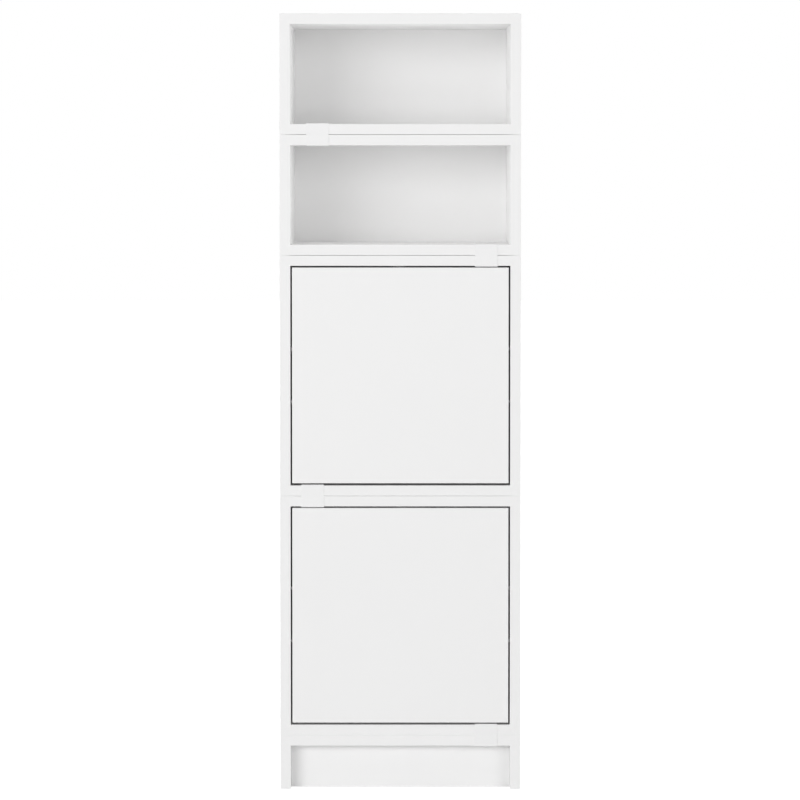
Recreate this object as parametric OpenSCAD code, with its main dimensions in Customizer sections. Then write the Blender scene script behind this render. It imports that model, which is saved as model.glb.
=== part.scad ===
// Modular shoe cabinet: two open boxes stacked on two tip-out flap boxes and a plinth base.
// Frame: +Z up, front towards -Y, origin on the floor under the middle of the cabinet.
// The carcass is centred on the origin in X and Y, and everything is in millimetres.

/* [Cabinet] */
// Outside width of every box and of the base
cab_w = 436; // [400:1:480]
// Depth of every box and of the base, front edge to rear edge
cab_d = 350; // [340:1:380]
// Thickness of the carcass boards and of the flaps
board_t = 19; // [18:0.5:20]
// Outside height of a flap box
flap_box_h = 436; // [430:1:450]
// Outside height of an open box
open_box_h = 218; // [200:1:240]

/* [Base] */
// Height of the base, floor to the underside of the lowest box
base_h = 100; // [90:1:120]
// Distance of the kick board behind the front edges
kick_recess = 33; // [20:1:50]
// Height of the rail that ties the legs together at the rear
rear_rail_h = 60; // [40:1:68]
// Height of the glides under the legs
glide_h = 2; // [1.5:0.5:4]

/* [Back panels] */
// Thickness of a back panel
back_t = 8; // [6:0.5:10]
// Distance from the rear edges to the back panel
back_inset = 12; // [11.5:0.5:14]
// How far the back panel enters the groove in each board
groove_depth = 7; // [5:0.5:9]

/* [Flaps] */
// Gap above and beside a flap
flap_gap = 3; // [2.5:0.5:4]
// Gap below a flap, which the seam clip's leg shares
flap_floor_gap = 4; // [4:0.5:5]
// Height of the pivot pins above the inside floor of the box
pivot_rise = 151; // [148:0.5:153]
// Distance of the pivot and stop pins behind the front face
pin_setback = 26; // [25:0.5:27]
// Distance from the pivot pin to the stop pin above it
stop_rise = 96; // [90:1:100]
// How far a flap tips out
flap_travel = 45; // [30:1:45]

/* [Shoe racks] */
// Thickness of a rack cheek
cheek_t = 12; // [10:0.5:14]
// Gap between a cheek and the side board
cheek_gap = 5; // [4.5:0.5:6]
// Thickness of the rack's inner boards
rack_t = 10; // [9:0.5:12]
// Length of the rack floor from the rear face of the flap
rack_depth = 214; // [190:1:220]

/* [Seam clips] */
// Width of a seam clip
clip_w = 41; // [30:1:60]
// Sheet thickness of a seam clip
clip_t = 1.5; // [1:0.1:1.6]
// How far a front clip's legs reach into the boxes
clip_leg = 15; // [10:0.5:16]
// Distances of the front clips from the nearer side, lowest seam first
clip_insets = [42, 38.5, 42, 48];

/* [Pins and fasteners] */
// Diameter of the pivot and stop pins
pin_d = 8; // [7:0.5:8]
// Diameter of the collar on each pin
pin_collar_d = 9.5; // [9:0.5:11]
// Radial running clearance of the pivot pins in their bushes
running_clearance = 0.05; // [0.02:0.01:0.1]
// Diameter of the corner dowels
dowel_d = 6; // [5:0.5:6]
// Length of the corner dowels
dowel_l = 20; // [16:1:20]
// Diameter of the screws' shanks
screw_d = 3.5; // [3:0.5:4]

/* [Push latches] */
// Stroke of the latch plunger over the whole flap travel
plunger_stroke = 14; // [8:1:16]
// Diameter of the latch plunger
plunger_d = 8; // [6:0.5:8]

/* [Hidden] */
$fn = 48;

// Finishes
board_white = "white";
inner_white = "whitesmoke";
pin_steel = "silver";
clip_white = "ghostwhite";
moulding_grey = "lightgray";
dowel_wood = "burlywood";

// The stack, lowest box first
LOWER_FLAP_BOX = 0;
UPPER_FLAP_BOX = 1;
LOWER_OPEN_BOX = 2;
UPPER_OPEN_BOX = 3;
LAST_SEAM = 3;
box_heights = [flap_box_h, flap_box_h, open_box_h, open_box_h];
function height_below(level) = level == 0 ? base_h : height_below(level - 1) + box_heights[level - 1];

// Places that several sub-parts share
front_y = -cab_d / 2;
rear_y = cab_d / 2;
inner_half_w = cab_w / 2 - board_t;
back_y = rear_y - back_inset - back_t;
cheek_outer = inner_half_w - cheek_gap;
cheek_inner = cheek_outer - cheek_t;
pivot_y = front_y + pin_setback;
flap_rear = board_t - pin_setback;
nudge = 1;

// Sizes of the small parts
bush_d = pin_d + 2;
bush_flange_d = bush_d + 4;
bush_flange_t = 1;
pin_depth = 12;
collar_l = 3;
slot_side_clearance = 0.4;
slot_end_clearance = 0.5;
screw_head_d = 7;
screw_head_t = 2;
screw_l = 12;
short_screw_l = 10;
rack_screw_l = 36;
bracket_t = 2;
bracket_w = 30;
bracket_leg = 20;
bracket_rises = [-100, 150];
bracket_screw_spread = 16;
dowel_ys = [-125, -10, 105];
edge_dowel_l = 24;
glide_d = 15;
glide_nail_d = 2.5;
glide_nail_l = 12;
glide_inset = 25;
strike_d = 16;
strike_t = 1.5;
strike_drop = 10;
latch_w = 30;
latch_l = 62;
latch_h = 14;
latch_drop = 8;
latch_front = 10;
latch_screw_xs = [-10.5, 10.5];
plunger_in_body = 46;
plunger_l = plunger_in_body + plunger_stroke;
plunger_tip_gap = 0.3;
wall_bracket_w = 44;
wall_bracket_drop = 40;
wall_bracket_t = 2;
wall_hook_hole_d = 5.5;
rear_clip_leg = 10;

// Rack boards, measured from the pivot: back is positive, up is positive
rack_floor_low = -128;
divider_back = 98;
divider_top = 20;
rear_board_top = 0;
cheek_outline = [
    [flap_rear, -134], [rack_depth + flap_rear + 3, -134], [rack_depth + flap_rear + 3, 10],
    [110, 84], [60, 118], [26, 200], [flap_rear, 200]
];
cheek_corner_r = 6;

// ---- general shapes ----

// A block given by its low corner and its high corner
module block(low, high) {
    translate(low)
        cube(high - low);
}

// A profile drawn in X and Z, run through the whole depth of the cabinet
module run_through_depth(points) {
    rotate([90, 0, 0])
        linear_extrude(cab_d, center = true)
            polygon(points);
}

// A profile drawn in Y and Z, run from one X to another
module run_across(from_x, to_x) {
    translate([from_x, 0, 0])
        rotate([90, 0, 90])
            linear_extrude(to_x - from_x)
                children();
}

// A round bar along X between two places
module bar_x(from_x, to_x, y, z, d) {
    translate([min(from_x, to_x), y, z])
        rotate([0, 90, 0])
            cylinder(d = d, h = abs(to_x - from_x));
}

// A round bar along Y between two places
module bar_y(from_y, to_y, x, z, d) {
    translate([x, from_y, z])
        rotate([-90, 0, 0])
            cylinder(d = d, h = to_y - from_y);
}

// A pan-head wood screw at the origin, its shank going down
module wood_screw(length) {
    translate([0, 0, -length])
        cylinder(d = screw_d, h = length);
    cylinder(d1 = screw_head_d, d2 = screw_head_d - 2, h = screw_head_t);
}

// ---- carcass ----

// The space that a back panel fills, groove included
module back_space(level, grow = 0) {
    reach_x = inner_half_w + groove_depth + grow;
    low_z = height_below(level) + board_t - groove_depth - grow;
    high_z = height_below(level) + box_heights[level] - board_t + groove_depth + grow;
    block([-reach_x, back_y, low_z], [reach_x, back_y + back_t, high_z]);
}

// The dowels across one mitred corner; side is -1 left or 1 right, end is -1 floor or 1 top
module corner_dowels(corner_z, side, end, d = dowel_d) {
    dowel_in = board_t - 5;
    for (y = dowel_ys)
        translate([side * (cab_w / 2 - dowel_in), y, corner_z - end * dowel_in])
            rotate([0, side * end > 0 ? 135 : 45, 0])
                cylinder(d = d, h = dowel_l, center = true);
}

// All the corner dowels of one box
module box_dowels(level) {
    z = height_below(level);
    for (side = [-1, 1]) {
        corner_dowels(z, side, -1);
        corner_dowels(z + box_heights[level], side, 1);
    }
}

// Blind holes in one side board for the pivot and stop pins
module pin_holes(level, side) {
    pin_z = height_below(level) + board_t + pivot_rise;
    for (z = [pin_z, pin_z + stop_rise])
        bar_x(side * (inner_half_w - nudge), side * (inner_half_w + pin_depth), pivot_y, z, pin_d);
}

// A side board, mitred at both ends
module side_board(level, side) {
    z = height_below(level);
    h = box_heights[level];
    color(board_white)
        difference() {
            run_through_depth([
                [side * cab_w / 2, z], [side * inner_half_w, z + board_t],
                [side * inner_half_w, z + h - board_t], [side * cab_w / 2, z + h]
            ]);
            back_space(level, 0.5);
            box_dowels(level);
            if (level <= UPPER_FLAP_BOX) pin_holes(level, side);
        }
}

// A floor (end -1) or a top (end 1), mitred at both sides
module level_board(level, end) {
    outer_z = height_below(level) + (end > 0 ? box_heights[level] : 0);
    inner_z = outer_z - end * board_t;
    color(board_white)
        difference() {
            run_through_depth([
                [-cab_w / 2, outer_z], [cab_w / 2, outer_z],
                [inner_half_w, inner_z], [-inner_half_w, inner_z]
            ]);
            back_space(level, 0.5);
            box_dowels(level);
            if (end > 0 && level <= UPPER_FLAP_BOX) latch_screws(level);
            if (end > 0 && level == UPPER_OPEN_BOX) wall_bracket_screws();
        }
}

module back_panel(level) {
    color(inner_white)
        back_space(level);
}

// ---- base ----

kick_y = front_y + kick_recess;
rear_rail_y = back_y - board_t;

module base_corner_dowels() {
    for (side = [-1, 1])
        corner_dowels(base_h, side, 1);
}

// Upright dowels that hold the kick board and the rear rail under the base top
module base_edge_dowels() {
    for (y = [kick_y + board_t / 2, rear_rail_y + board_t / 2], x = [-130, 0, 130])
        translate([x, y, base_h - board_t])
            cylinder(d = dowel_d, h = edge_dowel_l, center = true);
}

module base_top() {
    color(board_white)
        difference() {
            run_through_depth([
                [-cab_w / 2, base_h], [cab_w / 2, base_h],
                [inner_half_w, base_h - board_t], [-inner_half_w, base_h - board_t]
            ]);
            base_corner_dowels();
            base_edge_dowels();
        }
}

module base_leg(side) {
    color(board_white)
        difference() {
            run_through_depth([
                [side * cab_w / 2, glide_h], [side * inner_half_w, glide_h],
                [side * inner_half_w, base_h - board_t], [side * cab_w / 2, base_h]
            ]);
            base_corner_dowels();
            glide_nails();
        }
}

module kick_board() {
    color(board_white)
        difference() {
            block([-inner_half_w, kick_y, glide_h], [inner_half_w, kick_y + board_t, base_h - board_t]);
            base_edge_dowels();
        }
}

module base_rear_rail() {
    low_z = base_h - board_t - rear_rail_h;
    color(board_white)
        difference() {
            block([-inner_half_w, rear_rail_y, low_z],
                  [inner_half_w, rear_rail_y + board_t, base_h - board_t]);
            base_edge_dowels();
        }
}

// The places of the four glides
module at_glides() {
    for (side = [-1, 1], y = [front_y + glide_inset, rear_y - glide_inset])
        translate([side * (cab_w - board_t) / 2, y, 0])
            children();
}

module glide_nails() {
    at_glides()
        cylinder(d = glide_nail_d, h = glide_h + glide_nail_l);
}

module leg_glides() {
    color(moulding_grey) {
        at_glides()
            cylinder(d1 = glide_d - 1, d2 = glide_d, h = glide_h);
        glide_nails();
    }
}

module carcass_dowels() {
    color(dowel_wood) {
        for (level = [LOWER_FLAP_BOX : UPPER_OPEN_BOX])
            box_dowels(level);
        base_corner_dowels();
        base_edge_dowels();
    }
}

// ---- seam clips ----

// A U-shaped clip over the edges of the two boards that meet at a seam, centred on the origin
module seam_clip(leg) {
    half_h = board_t + clip_t;
    difference() {
        block([-clip_w / 2, -clip_t, -half_h], [clip_w / 2, leg, half_h]);
        block([-clip_w / 2 - nudge, 0, -board_t], [clip_w / 2 + nudge, leg + nudge, board_t]);
    }
}

// The clip seams count from the base upwards, and the clips stand right and left in turn
function clip_x(seam) = (seam % 2 == 0 ? 1 : -1) * (cab_w / 2 - clip_insets[seam] - clip_w / 2);

module front_clip(seam) {
    color(clip_white)
        translate([clip_x(seam), front_y, height_below(seam)])
            seam_clip(clip_leg);
}

module rear_seam_clips() {
    color(clip_white)
        for (seam = [0 : LAST_SEAM])
            translate([-clip_x(seam), rear_y, height_below(seam)])
                rotate([0, 0, 180])
                    seam_clip(rear_clip_leg);
}

// ---- wall bracket ----

wall_bracket_top = height_below(UPPER_OPEN_BOX) + open_box_h - board_t;

// The angle behind the top back panel that ties the cabinet to a wall
module wall_bracket() {
    half_w = wall_bracket_w / 2;
    color(pin_steel)
        difference() {
            union() {
                block([-half_w, back_y + back_t, wall_bracket_top - wall_bracket_t],
                      [half_w, rear_y, wall_bracket_top]);
                block([-half_w, rear_y - wall_bracket_t, wall_bracket_top - wall_bracket_drop],
                      [half_w, rear_y, wall_bracket_top]);
            }
            wall_bracket_screws();
            bar_y(rear_y - wall_bracket_t - nudge, rear_y + nudge, 0,
                  wall_bracket_top - wall_bracket_drop + 12, wall_hook_hole_d);
        }
}

module wall_bracket_screws() {
    for (x = [-14, 14])
        translate([x, back_y + back_t + 5, wall_bracket_top - wall_bracket_t])
            rotate([180, 0, 0])
                wood_screw(screw_l);
}

// ---- pins in the side boards ----

// A collared pin on each side of a flap box, at one height above the pivot
module side_pins(rise) {
    color(pin_steel)
        for (level = [LOWER_FLAP_BOX : UPPER_FLAP_BOX], side = [-1, 1]) {
            z = height_below(level) + board_t + pivot_rise + rise;
            bar_x(side * cheek_inner, side * (inner_half_w + pin_depth), pivot_y, z, pin_d);
            bar_x(side * (inner_half_w - collar_l), side * inner_half_w, pivot_y, z, pin_collar_d);
        }
}

// ---- flaps and racks ----

// Moves a shape drawn round the pivot to the pivot of one flap box
module at_pivot(level) {
    translate([0, pivot_y, height_below(level) + board_t + pivot_rise])
        children();
}

module flap_panel(level) {
    z = height_below(level);
    color(board_white)
        difference() {
            block([-inner_half_w + flap_gap, front_y, z + board_t + flap_floor_gap],
                  [inner_half_w - flap_gap, front_y + board_t, z + flap_box_h - board_t - flap_gap]);
            flap_bracket_screws(level);
            strike_disc(level);
        }
}

// Points on a circle, where 0 degrees is straight up and the angle grows towards the back
function round_points(centre, r, from, to, step) =
    [for (a = [from : step : to]) centre + r * [sin(a), cos(a)]];

// The outline of a cheek in Y and Z round the pivot, with its lower rear corner rounded
module cheek_profile() {
    corner = cheek_outline[1] + [-cheek_corner_r, cheek_corner_r];
    polygon(concat(
        [cheek_outline[0]],
        round_points(corner, cheek_corner_r, 180, 90, -15),
        [for (i = [2 : len(cheek_outline) - 1]) cheek_outline[i]]
    ));
}

// The arc that the stop pin sweeps through a cheek while the flap tips out
module stop_slot() {
    half_w = pin_d / 2 + slot_side_clearance;
    from = -asin(slot_end_clearance / stop_rise);
    to = flap_travel - from;
    steps = 16;
    step = (to - from) / steps;
    cap_step = 20;
    run_across(-cheek_outer - nudge, cheek_outer + nudge)
        polygon(concat(
            [for (i = [0 : steps]) (stop_rise + half_w) * [sin(from + i * step), cos(from + i * step)]],
            round_points(stop_rise * [sin(to), cos(to)], half_w, to + cap_step, to + 180 - cap_step, cap_step),
            [for (i = [steps : -1 : 0]) (stop_rise - half_w) * [sin(from + i * step), cos(from + i * step)]],
            round_points(stop_rise * [sin(from), cos(from)], half_w,
                         from + 180 + cap_step, from + 360 - cap_step, cap_step)
        ));
}

module cheek(level, side) {
    color(inner_white)
        difference() {
            at_pivot(level)
                difference() {
                    run_across(min(side * cheek_inner, side * cheek_outer),
                               max(side * cheek_inner, side * cheek_outer))
                        cheek_profile();
                    stop_slot();
                    bar_x(-cheek_outer - nudge, cheek_outer + nudge, 0, 0, bush_d);
                }
            flap_bracket_screws(level);
            rack_screws(level);
        }
}

// A flanged bush in each cheek, which turns on the pivot pin
module pivot_bushes(level) {
    color(moulding_grey)
        at_pivot(level)
            for (side = [-1, 1])
                difference() {
                    union() {
                        bar_x(side * cheek_inner, side * cheek_outer, 0, 0, bush_d);
                        bar_x(side * cheek_outer, side * (cheek_outer + bush_flange_t), 0, 0, bush_flange_d);
                    }
                    bar_x(side * (cheek_inner - nudge), side * (cheek_outer + bush_flange_t + nudge), 0, 0,
                          pin_d + 2 * running_clearance);
                }
}

// One board across the rack, between the cheeks, given in Y and Z round the pivot
module rack_board(level, low, high) {
    color(inner_white)
        difference() {
            at_pivot(level)
                block([-cheek_inner, low[0], low[1]], [cheek_inner, high[0], high[1]]);
            rack_screws(level);
        }
}

rack_floor_top = rack_floor_low + rack_t;
rack_end = flap_rear + rack_depth;

module rack_floor(level) {
    rack_board(level, [flap_rear, rack_floor_low], [rack_end, rack_floor_top]);
}

module rack_divider(level) {
    rack_board(level, [divider_back, rack_floor_top], [divider_back + rack_t, divider_top]);
}

module rack_rear(level) {
    rack_board(level, [rack_end - rack_t, rack_floor_top], [rack_end, rear_board_top]);
}

// The places in Y and Z of the screws that hold the rack boards between the cheeks
rack_screw_places = [
    [flap_rear + 30, rack_floor_low + rack_t / 2], [rack_end - 40, rack_floor_low + rack_t / 2],
    [divider_back + rack_t / 2, rack_floor_top + 30], [divider_back + rack_t / 2, divider_top - 20],
    [rack_end - rack_t / 2, rack_floor_top + 25], [rack_end - rack_t / 2, rear_board_top - 20]
];

module rack_screws(level) {
    at_pivot(level)
        for (side = [-1, 1], place = rack_screw_places) {
            bar_x(side * (cheek_outer - rack_screw_l), side * cheek_outer, place[0], place[1], screw_d);
            bar_x(side * (cheek_outer - screw_head_t), side * cheek_outer, place[0], place[1], screw_head_d);
        }
}

// An angle bracket in the corner between a cheek and the flap panel, at each height
module flap_brackets(level) {
    color(pin_steel)
        difference() {
            at_pivot(level)
                for (side = [-1, 1], rise = bracket_rises)
                    mirror([side < 0 ? 1 : 0, 0, 0])
                        translate([cheek_inner, flap_rear, rise - bracket_w / 2]) {
                            block([-bracket_leg, 0, 0], [0, bracket_t, bracket_w]);
                            block([-bracket_t, 0, 0], [0, bracket_leg, bracket_w]);
                        }
            flap_bracket_screws(level);
        }
}

// Two screws through each leg of each bracket, into the panel and into the cheek
module flap_bracket_screws(level) {
    at_pivot(level)
        for (side = [-1, 1], rise = bracket_rises, step = [-0.5, 0.5])
            mirror([side < 0 ? 1 : 0, 0, 0])
                translate([cheek_inner, flap_rear, rise + step * bracket_screw_spread]) {
                    translate([-bracket_leg / 2 - 2, bracket_t, 0])
                        rotate([-90, 0, 0])
                            wood_screw(screw_l);
                    translate([-bracket_t, bracket_leg / 2 + 2, 0])
                        rotate([0, -90, 0])
                            wood_screw(short_screw_l);
                }
}

module flap_screws(level) {
    color(pin_steel) {
        flap_bracket_screws(level);
        rack_screws(level);
    }
}

// ---- push latches ----

// Height of the plunger's centre line
function plunger_z(level) = height_below(level) + flap_box_h - board_t - latch_drop;
latch_y = front_y + board_t + latch_front;

// The steel disc let into the rear face of a flap, where the plunger's magnet meets it
module strike_disc(level) {
    disc_z = height_below(level) + flap_box_h - board_t - flap_gap - strike_drop;
    bar_y(front_y + board_t - strike_t, front_y + board_t, 0, disc_z, strike_d);
}

module strike_plate(level) {
    color(pin_steel)
        strike_disc(level);
}

module latch_screws(level) {
    under_top = height_below(level) + flap_box_h - board_t;
    for (x = latch_screw_xs)
        translate([x, latch_y + latch_l / 2, under_top - 3])
            rotate([180, 0, 0])
                wood_screw(screw_l);
}

module latch_body(level) {
    under_top = height_below(level) + flap_box_h - board_t;
    barrel_w = plunger_d + 5;
    color(moulding_grey)
        difference() {
            union() {
                block([-barrel_w / 2, latch_y, under_top - latch_h], [barrel_w / 2, latch_y + latch_l, under_top]);
                block([-latch_w / 2, latch_y + 12, under_top - 3], [latch_w / 2, latch_y + latch_l - 12, under_top]);
            }
            bar_y(latch_y - nudge, latch_y + latch_l - 3, 0, plunger_z(level), plunger_d + 2 * running_clearance);
            latch_screws(level);
        }
}

module latch_plunger(level) {
    tip_y = front_y + board_t + plunger_tip_gap;
    color(moulding_grey)
        bar_y(tip_y, tip_y + plunger_l, 0, plunger_z(level), plunger_d);
}

module cabinet_screws() {
    color(pin_steel) {
        wall_bracket_screws();
        latch_screws(LOWER_FLAP_BOX);
        latch_screws(UPPER_FLAP_BOX);
    }
}

// ---- what is drawn ----

side_board(LOWER_FLAP_BOX, -1);  // lower_flap_box_left
side_board(LOWER_FLAP_BOX, 1);  // lower_flap_box_right
level_board(LOWER_FLAP_BOX, -1);  // lower_flap_box_floor
level_board(LOWER_FLAP_BOX, 1);  // lower_flap_box_top
back_panel(LOWER_FLAP_BOX);  // lower_flap_box_back
side_board(UPPER_FLAP_BOX, -1);  // upper_flap_box_left
side_board(UPPER_FLAP_BOX, 1);  // upper_flap_box_right
level_board(UPPER_FLAP_BOX, -1);  // upper_flap_box_floor
level_board(UPPER_FLAP_BOX, 1);  // upper_flap_box_top
back_panel(UPPER_FLAP_BOX);  // upper_flap_box_back
side_board(LOWER_OPEN_BOX, -1);  // lower_open_box_left
side_board(LOWER_OPEN_BOX, 1);  // lower_open_box_right
level_board(LOWER_OPEN_BOX, -1);  // lower_open_box_floor
level_board(LOWER_OPEN_BOX, 1);  // lower_open_box_top
back_panel(LOWER_OPEN_BOX);  // lower_open_box_back
side_board(UPPER_OPEN_BOX, -1);  // upper_open_box_left
side_board(UPPER_OPEN_BOX, 1);  // upper_open_box_right
level_board(UPPER_OPEN_BOX, -1);  // upper_open_box_floor
level_board(UPPER_OPEN_BOX, 1);  // upper_open_box_top
back_panel(UPPER_OPEN_BOX);  // upper_open_box_back
base_top();
base_leg(-1);  // base_left_leg
base_leg(1);  // base_right_leg
kick_board();
base_rear_rail();
leg_glides();
carcass_dowels();
front_clip(0);  // base_seam_clip
front_clip(1);  // flap_seam_clip
front_clip(2);  // middle_seam_clip
front_clip(3);  // open_seam_clip
rear_seam_clips();
wall_bracket();
cabinet_screws();
side_pins(0);  // pivot_pins
side_pins(stop_rise);  // stop_pins
flap_panel(LOWER_FLAP_BOX);  // lower_flap_panel
cheek(LOWER_FLAP_BOX, -1);  // lower_flap_left_cheek
cheek(LOWER_FLAP_BOX, 1);  // lower_flap_right_cheek
rack_floor(LOWER_FLAP_BOX);  // lower_rack_floor
rack_divider(LOWER_FLAP_BOX);  // lower_rack_divider
rack_rear(LOWER_FLAP_BOX);  // lower_rack_rear
flap_brackets(LOWER_FLAP_BOX);  // lower_flap_brackets
flap_screws(LOWER_FLAP_BOX);  // lower_flap_screws
pivot_bushes(LOWER_FLAP_BOX);  // lower_pivot_bushes
strike_plate(LOWER_FLAP_BOX);  // lower_strike_plate
latch_body(LOWER_FLAP_BOX);  // lower_latch_body
latch_plunger(LOWER_FLAP_BOX);  // lower_latch_plunger
flap_panel(UPPER_FLAP_BOX);  // upper_flap_panel
cheek(UPPER_FLAP_BOX, -1);  // upper_flap_left_cheek
cheek(UPPER_FLAP_BOX, 1);  // upper_flap_right_cheek
rack_floor(UPPER_FLAP_BOX);  // upper_rack_floor
rack_divider(UPPER_FLAP_BOX);  // upper_rack_divider
rack_rear(UPPER_FLAP_BOX);  // upper_rack_rear
flap_brackets(UPPER_FLAP_BOX);  // upper_flap_brackets
flap_screws(UPPER_FLAP_BOX);  // upper_flap_screws
pivot_bushes(UPPER_FLAP_BOX);  // upper_pivot_bushes
strike_plate(UPPER_FLAP_BOX);  // upper_strike_plate
latch_body(UPPER_FLAP_BOX);  // upper_latch_body
latch_plunger(UPPER_FLAP_BOX);  // upper_latch_plunger
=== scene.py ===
"""Looks of the modular shoe cabinet: white laminate boards, enamelled seam clips and zinc hardware.

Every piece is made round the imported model: sizes and places come from its nodes. Metres, +Z up, front at -Y.
"""

import math

import bmesh
import bpy
import numpy as np
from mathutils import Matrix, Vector


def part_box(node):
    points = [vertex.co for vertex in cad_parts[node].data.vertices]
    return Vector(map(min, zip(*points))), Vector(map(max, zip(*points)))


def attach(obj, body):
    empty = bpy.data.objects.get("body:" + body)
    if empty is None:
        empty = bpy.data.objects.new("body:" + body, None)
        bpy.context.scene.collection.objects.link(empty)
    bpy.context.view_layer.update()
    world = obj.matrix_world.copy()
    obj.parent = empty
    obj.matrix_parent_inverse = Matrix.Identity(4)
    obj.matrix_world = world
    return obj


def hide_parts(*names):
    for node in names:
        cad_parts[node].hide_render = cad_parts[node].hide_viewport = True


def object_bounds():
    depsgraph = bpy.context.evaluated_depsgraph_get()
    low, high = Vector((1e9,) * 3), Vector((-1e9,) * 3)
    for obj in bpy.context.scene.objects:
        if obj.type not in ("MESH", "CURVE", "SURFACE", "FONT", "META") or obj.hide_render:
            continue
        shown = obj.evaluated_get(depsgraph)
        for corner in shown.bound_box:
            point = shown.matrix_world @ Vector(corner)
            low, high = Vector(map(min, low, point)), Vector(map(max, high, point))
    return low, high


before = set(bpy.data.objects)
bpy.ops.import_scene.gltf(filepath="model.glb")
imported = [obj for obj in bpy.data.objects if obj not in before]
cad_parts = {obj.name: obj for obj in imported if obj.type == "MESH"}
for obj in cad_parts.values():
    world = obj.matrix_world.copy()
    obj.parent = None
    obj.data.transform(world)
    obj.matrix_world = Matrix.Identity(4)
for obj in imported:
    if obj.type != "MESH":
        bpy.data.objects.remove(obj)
cad_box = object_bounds()
scene = bpy.context.scene

BOXES = ("lower_flap_box", "upper_flap_box", "lower_open_box", "upper_open_box")
FLAPS = ("lower", "upper")
OUTWARD = {
    "left": Vector((-1, 0, 0)),
    "right": Vector((1, 0, 0)),
    "floor": Vector((0, 0, -1)),
    "top": Vector((0, 0, 1)),
}

# Sizes that only the looks have
BOARD_ROUND = 0.0005      # rounding of a board's edge band
BASE_ROUND = 0.0002       # the base top meets the lowest box with a sharper edge
PANEL_ROUND = 0.0006      # rounding of a flap's edges
RACK_ROUND = 0.0008
ROUND_STEPS = 4
GROOVE_PLAY = 0.0005      # how much deeper a groove is than the back panel's edge
SEAM_TAPER = 0.012        # the boxes bear on their corners, and each seam opens this far in
SEAM_OPENING = {          # how far a board stands back from its seam, between the corners
    "lower_flap_box_top": 0.00015,
    "upper_flap_box_floor": 0.00015,
    "upper_flap_box_top": 0.00028,
    "lower_open_box_floor": 0.00028,
    "lower_open_box_top": 0.00028,
    "upper_open_box_floor": 0.00028,
}
WELD = 1e-6               # corner points closer than this are one
TURN_STEPS = 40           # sides of a turned part
DRILL_REACH = 0.01        # how far a drill starts outside what it cuts
SOFT_RIM = ("BEVEL", {"width": 0.0004, "segments": 2, "limit_method": "ANGLE", "angle_limit": math.radians(50)})


# ---------------------------------------------------------------- node sketches

class Sketch:
    """Draws a node tree: makes nodes, and sets or links their inputs."""

    def __init__(self, tree):
        self.tree = tree

    def node(self, kind, inputs=None, **settings):
        made = self.tree.nodes.new(kind)
        for key, value in settings.items():
            setattr(made, key, value)
        for key, value in (inputs or {}).items():
            self.feed(made.inputs[key], value)
        return made

    def feed(self, socket, value):
        if isinstance(value, bpy.types.NodeSocket):
            self.tree.links.new(value, socket)
        else:
            socket.default_value = value

    def maths(self, operation, a, b=0.0):
        return self.node("ShaderNodeMath", {0: a, 1: b}, operation=operation).outputs[0]

    def blend(self, factor, a, b):
        """Colour a where factor is 0, and colour b where it is 1."""
        mix = self.node("ShaderNodeMix", data_type="RGBA")
        self.feed(mix.inputs[0], factor)
        self.feed(mix.inputs[6], a)
        self.feed(mix.inputs[7], b)
        return mix.outputs[2]

    def spread(self, value, low, high):
        """A value from 0 to 1, stretched to run from low to high."""
        return self.node("ShaderNodeMapRange", {"Value": value, "To Min": low, "To Max": high}).outputs[0]


def new_group(name, inputs, outputs):
    """An empty shader group with named sockets, its sketch, its input node and its output node."""
    group = bpy.data.node_groups.new(name, "ShaderNodeTree")
    for label, kind, value in inputs:
        socket = group.interface.new_socket(label, in_out="INPUT", socket_type=kind)
        socket.default_value = value
    for label, kind in outputs:
        group.interface.new_socket(label, in_out="OUTPUT", socket_type=kind)
    return group, Sketch(group), group.nodes.new("NodeGroupInput"), group.nodes.new("NodeGroupOutput")


# ---------------------------------------------------------------- shared surface effects

def make_orange_peel():
    """The fine waviness of lacquer, laminate and powder coat."""
    group, s, given, out = new_group(
        "orange_peel",
        [("Pitch", "NodeSocketFloat", 900.0), ("Height", "NodeSocketFloat", 0.00002)],
        [("Normal", "NodeSocketVector")],
    )
    place = s.node("ShaderNodeTexCoord").outputs["Object"]
    waves = s.node("ShaderNodeTexNoise", {"Vector": place, "Scale": given.outputs["Pitch"], "Detail": 2.0})
    bump = s.node("ShaderNodeBump", {"Height": waves.outputs[0], "Distance": given.outputs["Height"]})
    s.feed(out.inputs["Normal"], bump.outputs[0])
    return group


def make_mottle():
    """Slow tone changes over a sheet, with a little fine speckle."""
    group, s, given, out = new_group(
        "mottle",
        [
            ("Light Tone", "NodeSocketColor", (1, 1, 1, 1)),
            ("Dark Tone", "NodeSocketColor", (0.9, 0.9, 0.9, 1)),
            ("Patch Pitch", "NodeSocketFloat", 6.0),
            ("Speckle Pitch", "NodeSocketFloat", 700.0),
            ("Speckle", "NodeSocketFloat", 0.2),
        ],
        [("Color", "NodeSocketColor"), ("Value", "NodeSocketFloat")],
    )
    place = s.node("ShaderNodeTexCoord").outputs["Object"]
    patch_pitch, speckle_pitch = given.outputs["Patch Pitch"], given.outputs["Speckle Pitch"]
    patches = s.node("ShaderNodeTexNoise", {"Vector": place, "Scale": patch_pitch, "Detail": 4.0})
    specks = s.node("ShaderNodeTexNoise", {"Vector": place, "Scale": speckle_pitch, "Detail": 1.0})
    speckle = s.maths("MULTIPLY", s.maths("SUBTRACT", specks.outputs[0], 0.5), given.outputs["Speckle"])
    value = s.maths("ADD", patches.outputs[0], speckle)
    s.feed(out.inputs["Value"], value)
    s.feed(out.inputs["Color"], s.blend(value, given.outputs["Light Tone"], given.outputs["Dark Tone"]))
    return group


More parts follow.
